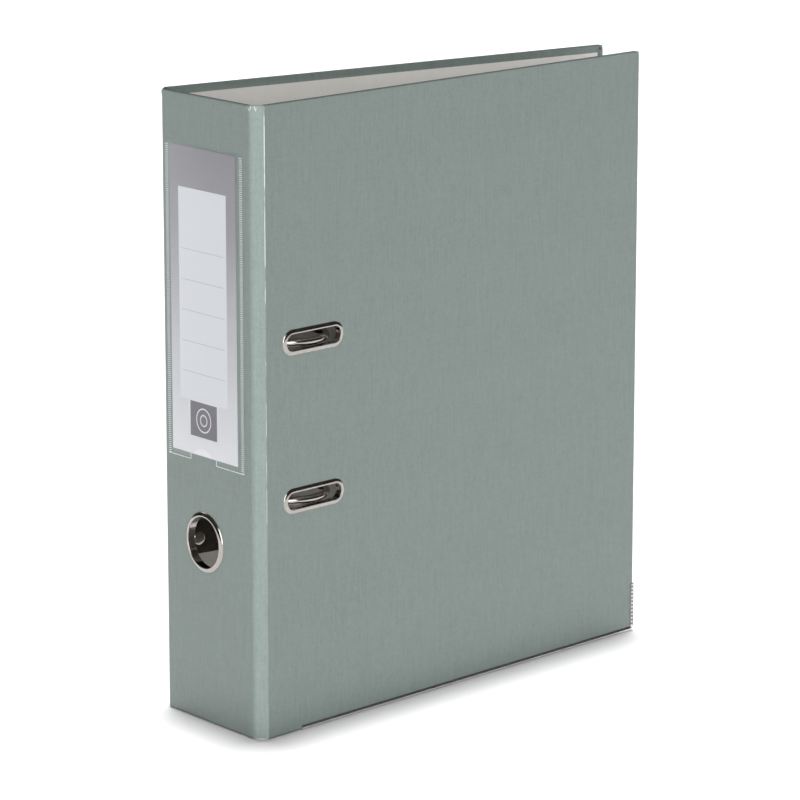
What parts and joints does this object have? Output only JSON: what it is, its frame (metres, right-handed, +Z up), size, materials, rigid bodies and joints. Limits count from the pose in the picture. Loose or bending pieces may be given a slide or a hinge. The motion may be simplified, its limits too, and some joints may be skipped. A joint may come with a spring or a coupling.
{
  "type": "lever arch file",
  "caption": "Standing lever arch file: hinged boards in grey-green film, a slotted front cover over a lever-operated ring mechanism, a label pocket and a finger ring on the spine.",
  "frame": {"origin": "bottom centre of the closed, standing file", "axes": "+X along the back cover from the spine to the fore edge, +Y out of the back cover, +Z up the height of the file"},
  "size_m": [0.2838, 0.0834, 0.318],
  "materials": {
    "cover_film": "semi-gloss polypropylene film over fine vertical linen grain",
    "lining_paper": "matt lining paper",
    "grey_board": "raw grey board edge",
    "nickel": "bright nickel plate",
    "rail_steel": "satin nickel-plated sheet with crimped lip",
    "spring_steel": "blued spring steel",
    "clear_film": "clear glossy film with knurled weld bands",
    "label_paper": "printed card, plain panel with ruled lines",
    "black_nylon": "moulded black nylon"
  },
  "bodies": {
    "back_cover": {"back_board": "grey_board", "back_covering": "cover_film", "back_lining": "lining_paper", "back_edge_rail": "rail_steel", "mechanism_base": "nickel", "mechanism_rivets": "nickel", "upper_post": "nickel", "lower_post": "nickel", "lever_pivot_pin": "nickel", "leaf_spring": "spring_steel", "spring_rivet": "nickel"},
    "spine": {"spine_board": "grey_board", "spine_covering": "cover_film", "spine_lining": "lining_paper", "label_pocket": "clear_film", "finger_ring_eyelet": "nickel", "finger_ring_washer": "nickel"},
    "label_card": {"label_card": "label_paper"},
    "back_strip": {"back_hinge_strip": "cover_film"},
    "front_strip": {"front_hinge_strip": "cover_film"},
    "front_cover": {"front_board": "grey_board", "front_covering": "cover_film", "front_lining": "lining_paper", "front_edge_rail": "rail_steel", "upper_slot_eyelet": "nickel", "lower_slot_eyelet": "nickel", "upper_slot_washer": "nickel", "lower_slot_washer": "nickel"},
    "arches": {"arches": "nickel"},
    "lever": {"lever": "nickel", "roller_pin": "nickel"},
    "roller": {"roller": "black_nylon"},
    "compressor": {"compressor_bar": "nickel"},
    "latch": {"compressor_latch": "black_nylon"}
  },
  "joints": [
    {"name": "back_strip_fold", "type": "hinge", "parent": "back_cover", "child": "back_strip", "pos_m": [-0.13593, 0.04117, 0.159], "axis": [0, 0, -1], "range_deg": [0, 45.95]},
    {"name": "spine_fold", "type": "hinge", "parent": "back_strip", "child": "spine", "pos_m": [-0.14157, 0.03534, 0.159], "axis": [0, 0, -1], "range_deg": [0, 46.6]},
    {"name": "front_strip_fold", "type": "hinge", "parent": "spine", "child": "front_strip", "pos_m": [-0.13827, -0.03589, 0.159], "axis": [0, 0, -1], "range_deg": [0, 46.7]},
    {"name": "front_cover_fold", "type": "hinge", "parent": "front_strip", "child": "front_cover", "pos_m": [-0.13212, -0.04117, 0.159], "axis": [0, 0, -1], "range_deg": [0, 50.7]},
    {"name": "card_slide", "type": "slide", "parent": "spine", "child": "label_card", "axis": [0, 0, 1], "range_m": [0, 0.16]},
    {"name": "lever_lift", "type": "hinge", "parent": "back_cover", "child": "lever", "pos_m": [-0.11077, 0.01857, 0.1572], "axis": [0, 0, 1], "range_deg": [0, 85.4]},
    {"name": "arch_swing", "type": "hinge", "parent": "back_cover", "child": "arches", "pos_m": [-0.12277, 0.03367, 0.1572], "axis": [0, 0, -1], "range_deg": [0, 48], "deforming": ["leaf_spring"]},
    {"name": "roller_spin", "type": "hinge", "parent": "lever", "child": "roller", "pos_m": [-0.11317, 0.02514, 0.1572], "axis": [0, 0, 1], "continuous": true},
    {"name": "compressor_slide", "type": "slide", "parent": "back_cover", "child": "compressor", "axis": [0, -1, 0], "range_m": [0, 0.028]},
    {"name": "latch_slide", "type": "slide", "parent": "compressor", "child": "latch", "axis": [0, 0, 1], "range_m": [0, 0.003]}
  ],
  "couplings": [
    {"joint": "back_strip_fold", "follows": "spine_fold", "ratio": 0.98604},
    {"joint": "lever_lift", "follows": "spine_fold", "ratio": 1.8326},
    {"joint": "arch_swing", "follows": "spine_fold", "ratio": 1.03},
    {"joint": "front_strip_fold", "follows": "front_cover_fold", "ratio": 0.92109}
  ]
}
